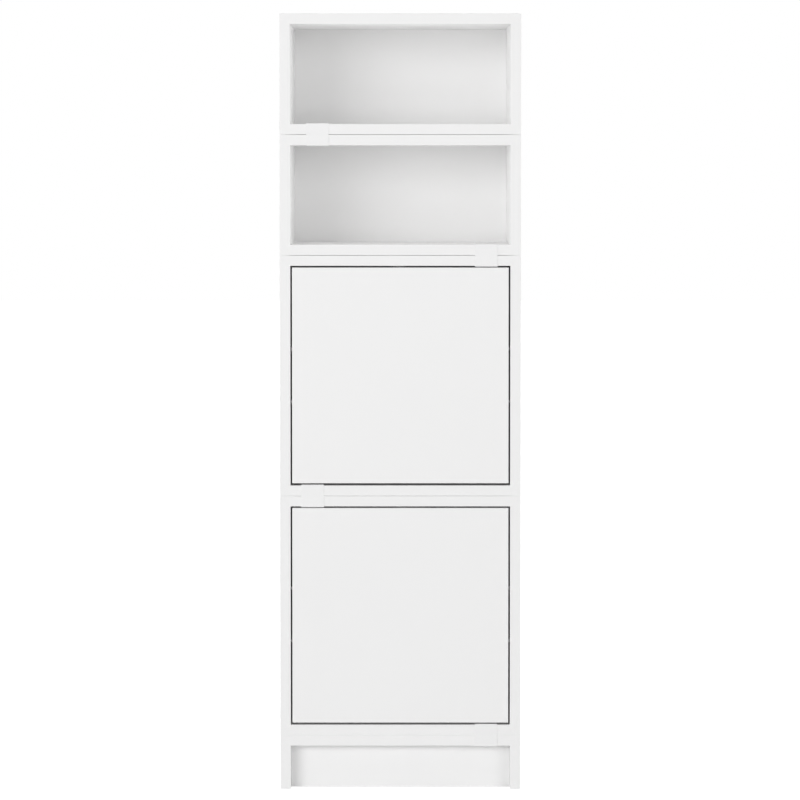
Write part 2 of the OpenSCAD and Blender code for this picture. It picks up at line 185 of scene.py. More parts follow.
def make_edge_rub():
    """Where hands and shoes have polished a rounded edge: the pieces mark those faces as edge."""
    group, s, given, out = new_group(
        "edge_rub",
        [
            ("Color", "NodeSocketColor", (1, 1, 1, 1)),
            ("Rubbed Color", "NodeSocketColor", (1, 1, 1, 1)),
            ("Amount", "NodeSocketFloat", 0.5),
        ],
        [("Color", "NodeSocketColor"), ("Mask", "NodeSocketFloat")],
    )
    place = s.node("ShaderNodeTexCoord").outputs["Object"]
    edge = s.node("ShaderNodeAttribute", attribute_name="edge").outputs["Fac"]
    patches = s.node("ShaderNodeTexNoise", {"Vector": place, "Scale": 35.0, "Detail": 3.0}).outputs[0]
    mask = s.maths("MULTIPLY", s.maths("MULTIPLY", edge, patches), given.outputs["Amount"])
    s.feed(out.inputs["Mask"], mask)
    s.feed(out.inputs["Color"], s.blend(mask, given.outputs["Color"], given.outputs["Rubbed Color"]))
    return group


orange_peel = make_orange_peel()
mottle = make_mottle()
edge_rub = make_edge_rub()


# ---------------------------------------------------------------- materials

def new_material(name):
    """A material, its sketch and its Principled shader."""
    material = bpy.data.materials.new(name)
    material.use_nodes = True
    return material, Sketch(material.node_tree), material.node_tree.nodes["Principled BSDF"]


def coated(name, light, dark, rubbed, roughness, peel_pitch, peel_height, patch_pitch=5.0, speckle=0.15, rub=0.5):
    """A smooth coated finish: laminate, edge band, enamel or moulded plastic."""
    material, s, shader = new_material(name)
    tone = s.node("ShaderNodeGroup", node_tree=mottle)
    for label, value in (
        ("Light Tone", light), ("Dark Tone", dark), ("Patch Pitch", patch_pitch), ("Speckle", speckle),
    ):
        s.feed(tone.inputs[label], value)
    worn = s.node("ShaderNodeGroup", node_tree=edge_rub)
    s.feed(worn.inputs["Color"], tone.outputs["Color"])
    s.feed(worn.inputs["Rubbed Color"], rubbed)
    s.feed(worn.inputs["Amount"], rub)
    peel = s.node("ShaderNodeGroup", node_tree=orange_peel)
    s.feed(peel.inputs["Pitch"], peel_pitch)
    s.feed(peel.inputs["Height"], peel_height)
    rough = s.spread(tone.outputs["Value"], roughness - 0.04, roughness + 0.06)
    polished = s.maths("SUBTRACT", rough, s.maths("MULTIPLY", worn.outputs["Mask"], 0.15))
    s.feed(shader.inputs["Base Color"], worn.outputs["Color"])
    s.feed(shader.inputs["Roughness"], polished)
    s.feed(shader.inputs["Normal"], peel.outputs["Normal"])
    return material, shader


def grey(level, tint=0.0):
    """A near-neutral colour; a positive tint is a little warmer."""
    return (level * (1 + tint), level, level * (1 - tint), 1.0)


def make_laminate():
    material, shader = coated(
        "white_laminate", grey(0.945, 0.001), grey(0.93, 0.002), grey(0.955), 0.6, 700.0, 0.000012,
    )
    shader.inputs["Specular IOR Level"].default_value = 0.25
    return material


def make_edge_band():
    material, shader = coated(
        "edge_band", grey(0.94, 0.001), grey(0.926, 0.002), grey(0.95), 0.6, 1300.0, 0.000008, patch_pitch=14.0,
    )
    shader.inputs["Specular IOR Level"].default_value = 0.25
    return material


def make_inner_laminate():
    material, shader = coated(
        "inner_laminate", grey(0.935, 0.002), grey(0.918, 0.003), grey(0.945), 0.6, 520.0, 0.000018,
    )
    shader.inputs["Specular IOR Level"].default_value = 0.25
    return material


def make_enamel():
    material, shader = coated(
        "clip_enamel", grey(0.935), grey(0.92), grey(0.95), 0.55, 1600.0, 0.00003, patch_pitch=40.0, rub=0.7,
    )
    shader.inputs["Specular IOR Level"].default_value = 0.35
    return material


def make_moulding():
    """Light grey moulded plastic with a fine spark-eroded grain."""
    material, shader = coated(
        "moulded_grey", grey(0.62), grey(0.56), grey(0.68), 0.5, 2600.0, 0.00006, patch_pitch=60.0, speckle=0.3,
    )
    shader.inputs["Specular IOR Level"].default_value = 0.4
    return material


def make_zinc():
    """Zinc-plated steel: crystal patches in the plating and fine drawn lines."""
    material, s, shader = new_material("zinc_steel")
    place = s.node("ShaderNodeTexCoord").outputs["Object"]
    crystals = s.node("ShaderNodeTexVoronoi", {"Vector": place, "Scale": 420.0, "Randomness": 1.0})
    cloud = s.node("ShaderNodeTexNoise", {"Vector": place, "Scale": 90.0, "Detail": 3.0}).outputs[0]
    stretched = s.node("ShaderNodeMapping", {"Vector": place, "Scale": (4.0, 60.0, 60.0)}).outputs[0]
    lines = s.node("ShaderNodeTexNoise", {"Vector": stretched, "Scale": 60.0, "Detail": 2.0}).outputs[0]
    patches = s.maths("MULTIPLY", crystals.outputs["Color"], cloud)
    s.feed(shader.inputs["Base Color"], s.blend(patches, grey(0.74), (0.58, 0.6, 0.63, 1)))
    s.feed(shader.inputs["Roughness"], s.spread(patches, 0.24, 0.46))
    bump = s.node("ShaderNodeBump", {"Height": lines, "Distance": 0.00002})
    s.feed(shader.inputs["Normal"], bump.outputs[0])
    shader.inputs["Metallic"].default_value = 1.0
    return material


def make_beech():
    """Beech dowel wood: long grain with short dark flecks."""
    material, s, shader = new_material("beech")
    place = s.node("ShaderNodeTexCoord").outputs["Object"]
    along = s.node("ShaderNodeMapping", {"Vector": place, "Scale": (1.0, 1.0, 0.1)}).outputs[0]
    grain = s.node("ShaderNodeTexNoise", {"Vector": along, "Scale": 900.0, "Detail": 5.0, "Distortion": 0.6})
    flecks = s.node("ShaderNodeTexVoronoi", {"Vector": along, "Scale": 1400.0}).outputs["Distance"]
    tone = s.blend(grain.outputs[0], (0.68, 0.47, 0.28, 1), (0.5, 0.32, 0.17, 1))
    dark = s.maths("LESS_THAN", flecks, 0.12)
    s.feed(shader.inputs["Base Color"], s.blend(dark, tone, (0.3, 0.17, 0.08, 1)))
    s.feed(shader.inputs["Roughness"], s.spread(grain.outputs[0], 0.55, 0.75))
    bump = s.node("ShaderNodeBump", {"Height": grain.outputs[0], "Distance": 0.00005})
    s.feed(shader.inputs["Normal"], bump.outputs[0])
    return material


laminate = make_laminate()
edge_band = make_edge_band()
inner_laminate = make_inner_laminate()
enamel = make_enamel()
moulding = make_moulding()
zinc = make_zinc()
beech = make_beech()


# ---------------------------------------------------------------- making pieces

def finish_piece(name, mesh, body, nodes, materials=()):
    """Puts a finished mesh in the scene as a piece that stands for some CAD nodes."""
    mesh.name = name
    for material in materials:
        mesh.materials.append(material)
    piece = bpy.data.objects.new(name, mesh)
    scene.collection.objects.link(piece)
    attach(piece, body)
    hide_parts(*nodes)
    return piece


def to_mesh(name, bm):
    bmesh.ops.recalc_face_normals(bm, faces=bm.faces)
    mesh = bpy.data.meshes.new(name)
    bm.to_mesh(mesh)
    bm.free()
    return mesh


def round_edges(bm, edges, radius, steps=ROUND_STEPS):
    """Rounds edges and marks the new faces as edge."""
    mark = bm.faces.layers.float.get("edge") or bm.faces.layers.float.new("edge")
    made = bmesh.ops.bevel(
        bm, geom=edges, offset=radius, offset_type="OFFSET", segments=steps, profile=0.5,
        affect="EDGES", clamp_overlap=True, loop_slide=True,
    )
    for face in made["faces"]:
        face[mark] = 1.0
    return made["faces"]


def block_into(bm, low, high):
    """Adds a block to a mesh and returns its edges."""
    corners = [
        bm.verts.new((x, y, z)) for x in (low[0], high[0]) for y in (low[1], high[1]) for z in (low[2], high[2])
    ]
    sides = ((0, 1, 3, 2), (4, 6, 7, 5), (0, 4, 5, 1), (2, 3, 7, 6), (0, 2, 6, 4), (1, 5, 7, 3))
    faces = [bm.faces.new([corners[i] for i in side]) for side in sides]
    return list({edge for face in faces for edge in face.edges})


def rounded_block(name, low, high, radius):
    bm = bmesh.new()
    edges = block_into(bm, low, high)
    round_edges(bm, edges, radius)
    return to_mesh(name, bm)


def mitred_board(name, node, outward, radius, groove=None, square_foot=False):
    """A board of a box, mitred at its ends. groove is (front, rear, depth) of the back panel's groove."""
    low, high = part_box(node)
    across = 0 if outward.x else 2
    along = 2 - across
    outer = high[across] if outward[across] > 0 else low[across]
    thick = high[across] - low[across]
    opening = SEAM_OPENING.get(node, 0.0)
    section = [(low.y, 0.0), (high.y, 0.0), (high.y, thick)]
    if groove:
        front, rear, depth = groove
        section += [(rear, thick), (rear, thick - depth), (front, thick - depth), (front, thick)]
    section.append((low.y, thick))
    outside_edges = {(low.y, 0.0), (high.y, 0.0), (high.y, thick), (low.y, thick)}

    bm = bmesh.new()

    def ring_at(end, inward, setback):
        """The section's corners at a distance in from one end, with the outer face set back."""
        ring = []
        for y, depth in section:
            shift = max(depth, setback)
            place = Vector((0, y, 0))
            place[across] = outer - outward[across] * shift
            mitre = 0.0 if square_foot and end < 0 else depth
            reach = max(mitre, inward)
            place[along] = (low[along] + reach) if end < 0 else (high[along] - reach)
            ring.append(bm.verts.new(place))
        return ring

    rings = [ring_at(-1, 0.0, 0.0), ring_at(1, 0.0, 0.0)]
    if opening:
        tapered = thick + SEAM_TAPER
        rings[1:1] = [ring_at(-1, tapered, opening), ring_at(1, tapered, opening)]
    bm.faces.new(rings[0])
    bm.faces.new(rings[-1])
    long_edges = []
    for first, second in zip(rings, rings[1:]):
        for i, point in enumerate(section):
            j = (i + 1) % len(section)
            bm.faces.new((first[i], first[j], second[j], second[i]))
            if point in outside_edges:
                long_edges.append(bm.edges.get((first[i], second[i])))
    bm.normal_update()
    for face in round_edges(bm, long_edges, radius):
        face.material_index = 1
    for face in bm.faces:
        if abs(face.normal.y) > 0.99:
            face.material_index = 1
    return to_mesh(name, bm)


def extruded(name, outline, axis, start, end, radius):
    """A profile run along an axis (0 X, 1 Y, 2 Z), with its two rims rounded. The outline gives the other two."""
    bm = bmesh.new()
    rings = []
    for place in (start, end):
        ring = []
        for a, b in outline:
            point = [a, b]
            point.insert(axis, place)
            ring.append(bm.verts.new(point))
        rings.append(ring)
    caps = [bm.faces.new(ring) for ring in rings]
    count = len(outline)
    for i in range(count):
        j = (i + 1) % count
        bm.faces.new((rings[0][i], rings[0][j], rings[1][j], rings[1][i]))
    bmesh.ops.recalc_face_normals(bm, faces=bm.faces)
    rims = [edge for cap in caps for edge in cap.edges]
    round_edges(bm, rims, radius, 2)
    return to_mesh(name, bm)


def arc(centre, radius, start, end, steps):
    """Points along an arc; the angles are in degrees."""
    angles = [math.radians(start + (end - start) * i / steps) for i in range(steps + 1)]
    return [(centre[0] + radius * math.cos(a), centre[1] + radius * math.sin(a)) for a in angles]


def baked(piece):
    """The mesh of an object with its modifiers applied."""
    graph = bpy.context.evaluated_depsgraph_get()
    return bpy.data.meshes.new_from_object(piece.evaluated_get(graph), depsgraph=graph)


def with_modifiers(name, mesh, *modifiers):
    """A mesh after modifiers, each given as (kind, settings)."""
    piece = bpy.data.objects.new(name, mesh)
    scene.collection.objects.link(piece)
    for kind, settings in modifiers:
        modifier = piece.modifiers.new(kind.lower(), kind)
        for key, value in settings.items():
            setattr(modifier, key, value)
    result = baked(piece)
    bpy.data.objects.remove(piece)
    return result


def smooth_by_angle(mesh, degrees=35.0):
    mesh.shade_smooth()
    mesh.set_sharp_from_angle(angle=math.radians(degrees))


def joined(meshes, name):
    """One mesh of several, face marks included."""
    bm = bmesh.new()
    bm.faces.layers.float.new("edge")
    for mesh in meshes:
        bm.from_mesh(mesh)
    result = bpy.data.meshes.new(name)
    bm.to_mesh(result)
    bm.free()
    return result


def round_bar(name, start, end, diameter, steps=32):
    """A plain round bar between two points, used to drill."""
    start, end = Vector(start), Vector(end)
    turn = (end - start).to_track_quat("Z", "Y").to_matrix().to_4x4()
    turn.translation = (start + end) / 2
    bm = bmesh.new()
    bmesh.ops.create_cone(
        bm, cap_ends=True, segments=steps, radius1=diameter / 2, radius2=diameter / 2,
        depth=(end - start).length, matrix=turn,
    )
    return to_mesh(name, bm)


def drilled(name, mesh, bars):
    """A mesh with round holes; bars are (start, end, diameter)."""
    drills = joined([round_bar("drill", *bar) for bar in bars], "drills")
    drill = bpy.data.objects.new("drill", drills)
    scene.collection.objects.link(drill)
    settings = {"operation": "DIFFERENCE", "object": drill, "solver": "EXACT"}
    result = with_modifiers(name, mesh, ("BOOLEAN", settings))
    bpy.data.objects.remove(drill)
    return result


def welded_copy(node):
    """A copy of a CAD node with its loose triangles welded and its flat faces made whole."""
    bm = bmesh.new()
    bm.from_mesh(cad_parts[node].data)
    bmesh.ops.remove_doubles(bm, verts=bm.verts, dist=WELD)
    bmesh.ops.dissolve_limit(bm, angle_limit=math.radians(0.5), verts=bm.verts, edges=bm.edges)
    bm.faces.layers.float.new("edge")
    mesh = bpy.data.meshes.new(node + "_welded")
    bm.to_mesh(mesh)
    bm.free()
    mesh.materials.clear()
    return mesh


def solids(node):
    """The corner points of each separate solid in a CAD node."""
    bm = bmesh.new()
    bm.from_mesh(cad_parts[node].data)
    bmesh.ops.remove_doubles(bm, verts=bm.verts, dist=WELD)
    left = set(bm.verts)
    found = []
    while left:
        first = left.pop()
        group, queue = [first], [first]
        while queue:
            for edge in queue.pop().link_edges:
                for vert in edge.verts:
                    if vert in left:
                        left.remove(vert)
                        group.append(vert)
                        queue.append(vert)
        found.append(np.array([tuple(v.co) for v in group]))
    bm.free()
    return sorted(found, key=lambda points: tuple(np.round(points.mean(0), 5)))


# ---------------------------------------------------------------- turned parts, placed by geometry nodes

def turned_tree(name, sizes, profile, recess=None):
    """A geometry node tree that turns a part on a lathe and sets one at each point, aimed by its aim attribute.

    sizes are the named inputs. profile takes their sockets and gives (height, radius) points, going up the
    outside and down the inside. recess gives the mesh sockets that are cut out of the part.
    """
    tree = bpy.data.node_groups.new(name, "GeometryNodeTree")
    tree.interface.new_socket("Geometry", in_out="INPUT", socket_type="NodeSocketGeometry")
    for label, value in sizes.items():
        tree.interface.new_socket(label, in_out="INPUT", socket_type="NodeSocketFloat").default_value = value
    tree.interface.new_socket("Finish", in_out="INPUT", socket_type="NodeSocketMaterial")
    tree.interface.new_socket("Geometry", in_out="OUTPUT", socket_type="NodeSocketGeometry")
    s = Sketch(tree)
    given = s.node("NodeGroupInput").outputs
    out = s.node("NodeGroupOutput")

    whole = s.node("GeometryNodeJoinGeometry")
    for start, end, rising in profile(s, given):
        low, high = (start, end) if rising else (end, start)
        ring = s.node(
            "GeometryNodeMeshCone",
            {
                "Vertices": TURN_STEPS, "Radius Bottom": low[1], "Radius Top": high[1],
                "Depth": s.maths("SUBTRACT", high[0], low[0]),
            },
            fill_type="NONE",
        )
        lift = s.node("ShaderNodeCombineXYZ", {"Z": low[0]}).outputs[0]
        band = s.node("GeometryNodeTransform", {"Geometry": ring.outputs["Mesh"], "Translation": lift}).outputs[0]
        if not rising:
            band = s.node("GeometryNodeFlipFaces", {"Mesh": band}).outputs[0]
        tree.links.new(band, whole.inputs[0])
    part = s.node("GeometryNodeMergeByDistance", {"Geometry": whole.outputs[0], "Distance": WELD}).outputs[0]
    if recess:
        for cutter in recess(s, given):
            cut = s.node("GeometryNodeMeshBoolean", operation="DIFFERENCE")
            tree.links.new(part, cut.inputs["Mesh 1"])
            tree.links.new(cutter, cut.inputs["Mesh 2"])
            part = cut.outputs["Mesh"]
    aim = s.node("GeometryNodeInputNamedAttribute", {"Name": "aim"}, data_type="FLOAT_VECTOR").outputs["Attribute"]
    turn = s.node("FunctionNodeAlignRotationToVector", {"Vector": aim}, axis="Z").outputs[0]
    places = s.node("GeometryNodeMeshToPoints", {"Mesh": given["Geometry"]}).outputs[0]
    wanted = {"Points": places, "Instance": part, "Rotation": turn}
    copies = s.node("GeometryNodeInstanceOnPoints", wanted).outputs[0]
    real = s.node("GeometryNodeRealizeInstances", {"Geometry": copies}).outputs[0]
    coated_part = s.node("GeometryNodeSetMaterial", {"Geometry": real, "Material": given["Finish"]}).outputs[0]
    s.feed(out.inputs[0], coated_part)
    return tree


def steps_of(points):
    """Pairs of neighbouring profile points. A point is (height, radius, rising): how the profile reaches it."""
    return [(a[:2], b[:2], b[2]) for a, b in zip(points, points[1:])]


def pin_profile(s, given):
    """A pin with chamfered ends and a collar part way along."""
    length, collar = given["Length"], given["Collar Start"]
    radius, chamfer = given["Radius"], given["Chamfer"]
    collar_end = s.maths("ADD", collar, given["Collar Length"])
    small = s.maths("SUBTRACT", radius, chamfer)
    return steps_of([
        (0.0, 0.0, True), (0.0, small, True), (chamfer, radius, True),
        (collar, radius, True), (collar, given["Collar Radius"], True),
        (collar_end, given["Collar Radius"], True), (collar_end, radius, True),
        (s.maths("SUBTRACT", length, chamfer), radius, True), (length, small, True), (length, 0.0, True),
    ])


def rod_profile(s, given):
    """A round rod with chamfered ends."""
    length, radius, chamfer = given["Length"], given["Radius"], given["Chamfer"]
    small = s.maths("SUBTRACT", radius, chamfer)
    return steps_of([
        (0.0, 0.0, True), (0.0, small, True), (chamfer, radius, True),
        (s.maths("SUBTRACT", length, chamfer), radius, True), (length, small, True), (length, 0.0, True),
    ])


def bush_profile(s, given):
    """A bush with a bore through it and a flange at its outer end."""
    length, radius, bore = given["Length"], given["Radius"], given["Bore Radius"]
    flange, chamfer = given["Flange Radius"], given["Chamfer"]
    under = s.maths("SUBTRACT", length, given["Flange Thickness"])
    return steps_of([
        (0.0, bore, True), (0.0, s.maths("SUBTRACT", radius, chamfer), True), (chamfer, radius, True),
        (under, radius, True), (under, flange, True),
        (s.maths("SUBTRACT", length, chamfer), flange, True),
        (length, s.maths("SUBTRACT", flange, chamfer), True), (length, bore, True), (0.0, bore, False),
    ])


def glide_profile(s, given):
    """A furniture glide: a low dome on the floor with a nail standing in it."""
    top, radius, nail = given["Height"], given["Radius"], given["Nail Radius"]
    edge = s.maths("MULTIPLY", top, 0.4)
    return steps_of([
        (0.0, 0.0, True), (0.0, s.maths("SUBTRACT", radius, edge), True),
        (s.maths("MULTIPLY", edge, 0.3), s.maths("SUBTRACT", radius, s.maths("MULTIPLY", edge, 0.3)), True),
        (edge, radius, True), (top, radius, True), (top, nail, True),
        (s.maths("SUBTRACT", given["Length"], nail), nail, True), (given["Length"], 0.0, True),
    ])


def screw_profile(s, given):
    """A pan-head screw hanging down from the top of its head, at height 0."""
    head, shank = given["Head Radius"], given["Shank Radius"]
    under = s.maths("SUBTRACT", 0.0, given["Head Height"])
    rim = s.maths("MULTIPLY", under, 0.45)
    tip = s.maths("SUBTRACT", under, given["Shank Length"])
    return steps_of([
        (tip, 0.0, True), (s.maths("ADD", tip, shank), shank, True), (under, shank, True), (under, head, True),
        (rim, head, True), (s.maths("MULTIPLY", under, 0.15), s.maths("MULTIPLY", head, 0.82), True),
        (0.0, s.maths("MULTIPLY", head, 0.5), True), (0.0, 0.0, True),
    ])


def cross_recess(s, given):
    """Two crossed slots in the screw's head."""
    reach = s.maths("MULTIPLY", given["Head Radius"], 1.1)
    width = s.maths("MULTIPLY", given["Head Radius"], 0.24)
    depth = s.maths("MULTIPLY", given["Head Height"], 1.2)
    boxes = []
    for size in ((reach, width, depth), (width, reach, depth)):
        shape = s.node("ShaderNodeCombineXYZ", {"X": size[0], "Y": size[1], "Z": size[2]}).outputs[0]
        boxes.append(s.node("GeometryNodeMeshCube", {"Size": shape}).outputs["Mesh"])
    return boxes


def hex_recess(s, given):
    """A six-sided socket in the screw's head."""
    return [
        s.node(
            "GeometryNodeMeshCylinder",
            {
                "Vertices": 6, "Radius": s.maths("MULTIPLY", given["Head Radius"], 0.55),
                "Depth": s.maths("MULTIPLY", given["Head Height"], 1.6),
            },
        ).outputs["Mesh"]
    ]


PIN_SIZES = {
    "Length": 0.029, "Radius": 0.004, "Chamfer": 0.0006, "Collar Start": 0.014, "Collar Length": 0.003,
    "Collar Radius": 0.00475,
}
ROD_SIZES = {"Length": 0.02, "Radius": 0.003, "Chamfer": 0.0006}
BUSH_SIZES = {
    "Length": 0.013, "Radius": 0.005, "Bore Radius": 0.00405, "Flange Radius": 0.007, "Flange Thickness": 0.001,
    "Chamfer": 0.0003,
}
GLIDE_SIZES = {"Height": 0.002, "Radius": 0.0075, "Nail Radius": 0.00125, "Length": 0.014}
SCREW_SIZES = {"Head Radius": 0.0035, "Head Height": 0.002, "Shank Radius": 0.00175, "Shank Length": 0.012}

pin_tree = turned_tree("collared_pin", PIN_SIZES, pin_profile)
rod_tree = turned_tree("chamfered_rod", ROD_SIZES, rod_profile)
bush_tree = turned_tree("flanged_bush", BUSH_SIZES, bush_profile)
glide_tree = turned_tree("nail_glide", GLIDE_SIZES, glide_profile)
pan_screw_tree = turned_tree("pan_head_screw", SCREW_SIZES, screw_profile, cross_recess)
socket_screw_tree = turned_tree("socket_screw", SCREW_SIZES, screw_profile, hex_recess)


def placed(name, tree, places, finish, **sizes):
    """The mesh that a tree gives for these places, each a point and the way the part points."""
    spots = bpy.data.meshes.new(name)
    spots.from_pydata([tuple(point) for point, _ in places], [], [])
    aims = spots.attributes.new("aim", "FLOAT_VECTOR", "POINT")
    aims.data.foreach_set("vector", [c for _, way in places for c in way])
    holder = bpy.data.objects.new(name, spots)
    scene.collection.objects.link(holder)
    modifier = holder.modifiers.new("turned", "NODES")
    modifier.node_group = tree
    wanted = {**sizes, "Finish": finish}
    for item in tree.interface.items_tree:
        if item.in_out == "INPUT" and item.name in wanted:
            modifier[item.identifier] = wanted[item.name]
    mesh = baked(holder)
    bpy.data.objects.remove(holder)
    smooth_by_angle(mesh)
    return mesh


def long_axis(points):
    """The middle of a turned solid and the direction it runs, from its corner points."""
    low, high = points.min(0), points.max(0)
    middle = (low + high) / 2
    _, _, ways = np.linalg.svd(points - middle, full_matrices=False)
    return middle, ways[0]


SCREW_END = 0.0005        # points this near an end tell how wide that end is


def screw_places(node):
    """The top of each screw's head in a CAD node, the way it faces, and the screw's whole length."""
    places = []
    for points in solids(node):
        middle, way = long_axis(points)
        along = (points - middle) @ way
        off_axis = np.linalg.norm((points - middle) - np.outer(along, way), axis=1)
        at_top = off_axis[along > along.max() - SCREW_END].max()
        at_foot = off_axis[along < along.min() + SCREW_END].max()
        if at_foot > at_top:
            way, along = -way, -along
        axis_point = middle + way * along.max()
        places.append((axis_point, way, along.max() - along.min()))
    return places


# ---------------------------------------------------------------- carcass and base

BOARD_FINISHES = (laminate, edge_band)      # material 0 and material 1 of a board


def back_groove(box):
    """Where the back panel's groove starts and ends in Y, and its depth."""
    low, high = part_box(box + "_back")
    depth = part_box(box + "_left")[1].x - low.x + GROOVE_PLAY
    return low.y, high.y, depth


def build_boxes():
    for box in BOXES:
        groove = back_groove(box)
        for side, outward in OUTWARD.items():
            node = f"{box}_{side}"
            mesh = mitred_board(node + "_board", node, outward, BOARD_ROUND, groove)
            finish_piece(node + "_board", mesh, "cabinet", [node], BOARD_FINISHES)
        node = box + "_back"
        mesh = rounded_block(node + "_panel", *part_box(node), BASE_ROUND)
        finish_piece(node + "_panel", mesh, "cabinet", [node], (inner_laminate,))


def build_base():
    mesh = mitred_board("base_top_board", "base_top", OUTWARD["top"], BASE_ROUND)
    finish_piece("base_top_board", mesh, "cabinet", ["base_top"], BOARD_FINISHES)
    for side in ("left", "right"):
        node = f"base_{side}_leg"
        mesh = mitred_board(node + "_board", node, OUTWARD[side], BOARD_ROUND, square_foot=True)
        finish_piece(node + "_board", mesh, "cabinet", [node], BOARD_FINISHES)
    for node in ("kick_board", "base_rear_rail"):
        mesh = rounded_block(node + "_board", *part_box(node), BOARD_ROUND)
        finish_piece(node + "_board", mesh, "cabinet", [node], (laminate,))


def build_glides_and_dowels():
    places = []
    for points in solids("leg_glides"):
        low, high = points.min(0), points.max(0)
        places.append((((low[0] + high[0]) / 2, (low[1] + high[1]) / 2, low[2]), (0, 0, 1)))
    mesh = placed("nail_glides", glide_tree, places, moulding)
    finish_piece("nail_glides", mesh, "cabinet", ["leg_glides"])

    places, lengths = [], []
    for points in solids("carcass_dowels"):
        middle, way = long_axis(points)
        along = (points - middle) @ way
        places.append((middle + way * along.min(), way))
        lengths.append(along.max() - along.min())
    groups = []
    for length in sorted({round(v, 4) for v in lengths}):
        chosen = [place for place, own in zip(places, lengths) if round(own, 4) == length]
        groups.append(placed("dowels", rod_tree, chosen, beech, Length=length))
    mesh = joined(groups, "dowels")
    smooth_by_angle(mesh)
    finish_piece("beech_dowels", mesh, "cabinet", ["carcass_dowels"], (beech,))


# ---------------------------------------------------------------- seam clips and wall bracket

CLIP_BEND = 0.0016        # outside radius of a clip's bends
CLIP_INNER_BEND = 0.0004
CLIP_RIM = 0.00025
BEND_STEPS = 5            # straight runs in a bend of sheet


def clip_outline(low, high, sheet, towards_back):
    """The U of a clip in Y and Z: a plate over two board edges, with a leg along each board."""
    plate_y = low[1] if towards_back else high[1]
    leg_y = high[1] if towards_back else low[1]
    way = 1 if towards_back else -1

    def corner(y, z, radius, up):
        """A quarter circle from the plate's face round to the leg's face."""
        points = arc((0, 0), radius, 90, 180, BEND_STEPS)
        return [(y + way * (radius + a), z - up * (radius - b)) for a, b in points]

    return [
        (leg_y, high[2]),
        *corner(plate_y, high[2], CLIP_BEND, 1),
        *reversed(corner(plate_y, low[2], CLIP_BEND, -1)),
        (leg_y, low[2]), (leg_y, low[2] + sheet),
        *corner(plate_y + way * sheet, low[2] + sheet, CLIP_INNER_BEND, -1),
        *reversed(corner(plate_y + way * sheet, high[2] - sheet, CLIP_INNER_BEND, 1)),
        (leg_y, high[2] - sheet),
    ]


def build_clips():
    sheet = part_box("upper_open_box_left")[0].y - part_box("open_seam_clip")[0].y
    for name in ("base_seam_clip", "flap_seam_clip", "middle_seam_clip", "open_seam_clip"):
        low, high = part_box(name)
        mesh = extruded(name, clip_outline(low, high, sheet, True), 0, low.x, high.x, CLIP_RIM)
        finish_piece(name + "_steel", mesh, "cabinet", [name], (enamel,))
    rear = []
    for points in solids("rear_seam_clips"):
        low, high = points.min(0), points.max(0)
        rear.append(extruded("rear_clip", clip_outline(low, high, sheet, False), 0, low[0], high[0], CLIP_RIM))
    mesh = joined(rear, "rear_seam_clips")
    finish_piece("rear_clips_steel", mesh, "cabinet", ["rear_seam_clips"], (enamel,))


def angle_outline(corner, end, sheet, bend):
    """An L in two coordinates: corner is its outside corner, end the far ends of its two legs."""
    (ca, cb), (ea, eb) = corner, end
    da, db = math.copysign(1, ea - ca), math.copysign(1, eb - cb)
    quarter = arc((0, 0), 1.0, 180, 270, BEND_STEPS)
    outside = [(ca + da * bend * (1 + a), cb + db * bend * (1 + b)) for a, b in quarter]
    inside_bend = bend * 0.5
    inside = [
        (ca + da * (sheet + inside_bend * (1 + a)), cb + db * (sheet + inside_bend * (1 + b)))
        for a, b in quarter
    ]
    return [(ca, eb)] + outside + [(ea, cb), (ea, cb + db * sheet)] + inside[::-1] + [(ca + da * sheet, eb)]


BRACKET_SHEET = 0.002
BRACKET_BEND = 0.0022
BRACKET_RIM = 0.0003
WALL_HOLE = 0.0055
WALL_HOLE_RISE = 0.012    # the hole's height over the bracket's lower edge


def build_wall_bracket():
    low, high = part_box("wall_bracket")
    outline = angle_outline((high.y, high.z), (low.y, low.z), BRACKET_SHEET, BRACKET_BEND)
    mesh = extruded("wall_bracket", outline, 0, low.x, high.x, BRACKET_RIM)
    hole_z = low.z + WALL_HOLE_RISE
    start, end = (0, high.y - DRILL_REACH, hole_z), (0, high.y + DRILL_REACH, hole_z)
    mesh = drilled("wall_bracket", mesh, [(start, end, WALL_HOLE)])
    finish_piece("wall_bracket_steel", mesh, "cabinet", ["wall_bracket"], (zinc,))


LONG_SCREW = 0.03


def build_screws(name, node, body):
    """Every screw of a CAD node: long ones have a socket head, short ones a cross recess."""
    kinds = {}
    for point, way, length in screw_places(node):
        kinds.setdefault(round(length, 4), []).append((point, way))
    sets = []
    for length, places in sorted(kinds.items()):
        tree = socket_screw_tree if length > LONG_SCREW else pan_screw_tree
        sets.append(placed(name, tree, places, zinc, **{"Shank Length": length - SCREW_SIZES["Head Height"]}))
    mesh = joined(sets, name)
    smooth_by_angle(mesh)
    finish_piece(name, mesh, body, [node], (zinc,))


# ---------------------------------------------------------------- pins, latches

def outward_places(node):
    """The inner end of each sideways pin or bush in a CAD node, pointing to the nearer side board."""
    places = []
    for points in solids(node):
        low, high = points.min(0), points.max(0)
        side = 1 if low[0] > 0 else -1
        inner = low[0] if side > 0 else high[0]
        places.append(((inner, (low[1] + high[1]) / 2, (low[2] + high[2]) / 2), (side, 0, 0)))
    return places


def build_pins():
    for node in ("pivot_pins", "stop_pins"):
        mesh = placed(node, pin_tree, outward_places(node), zinc)
        finish_piece(node + "_steel", mesh, "cabinet", [node])


LATCH_ROUND = 0.0008
LATCH_FLANGE = 0.003
LATCH_BARREL = 0.013
LATCH_FLANGE_SETBACK = 0.012
LATCH_CORNER = 0.005
LATCH_CORNER_STEPS = 6
LATCH_END_WALL = 0.003
PLUNGER_BORE = 0.0082
PLUNGER_CHAMFER = 0.001


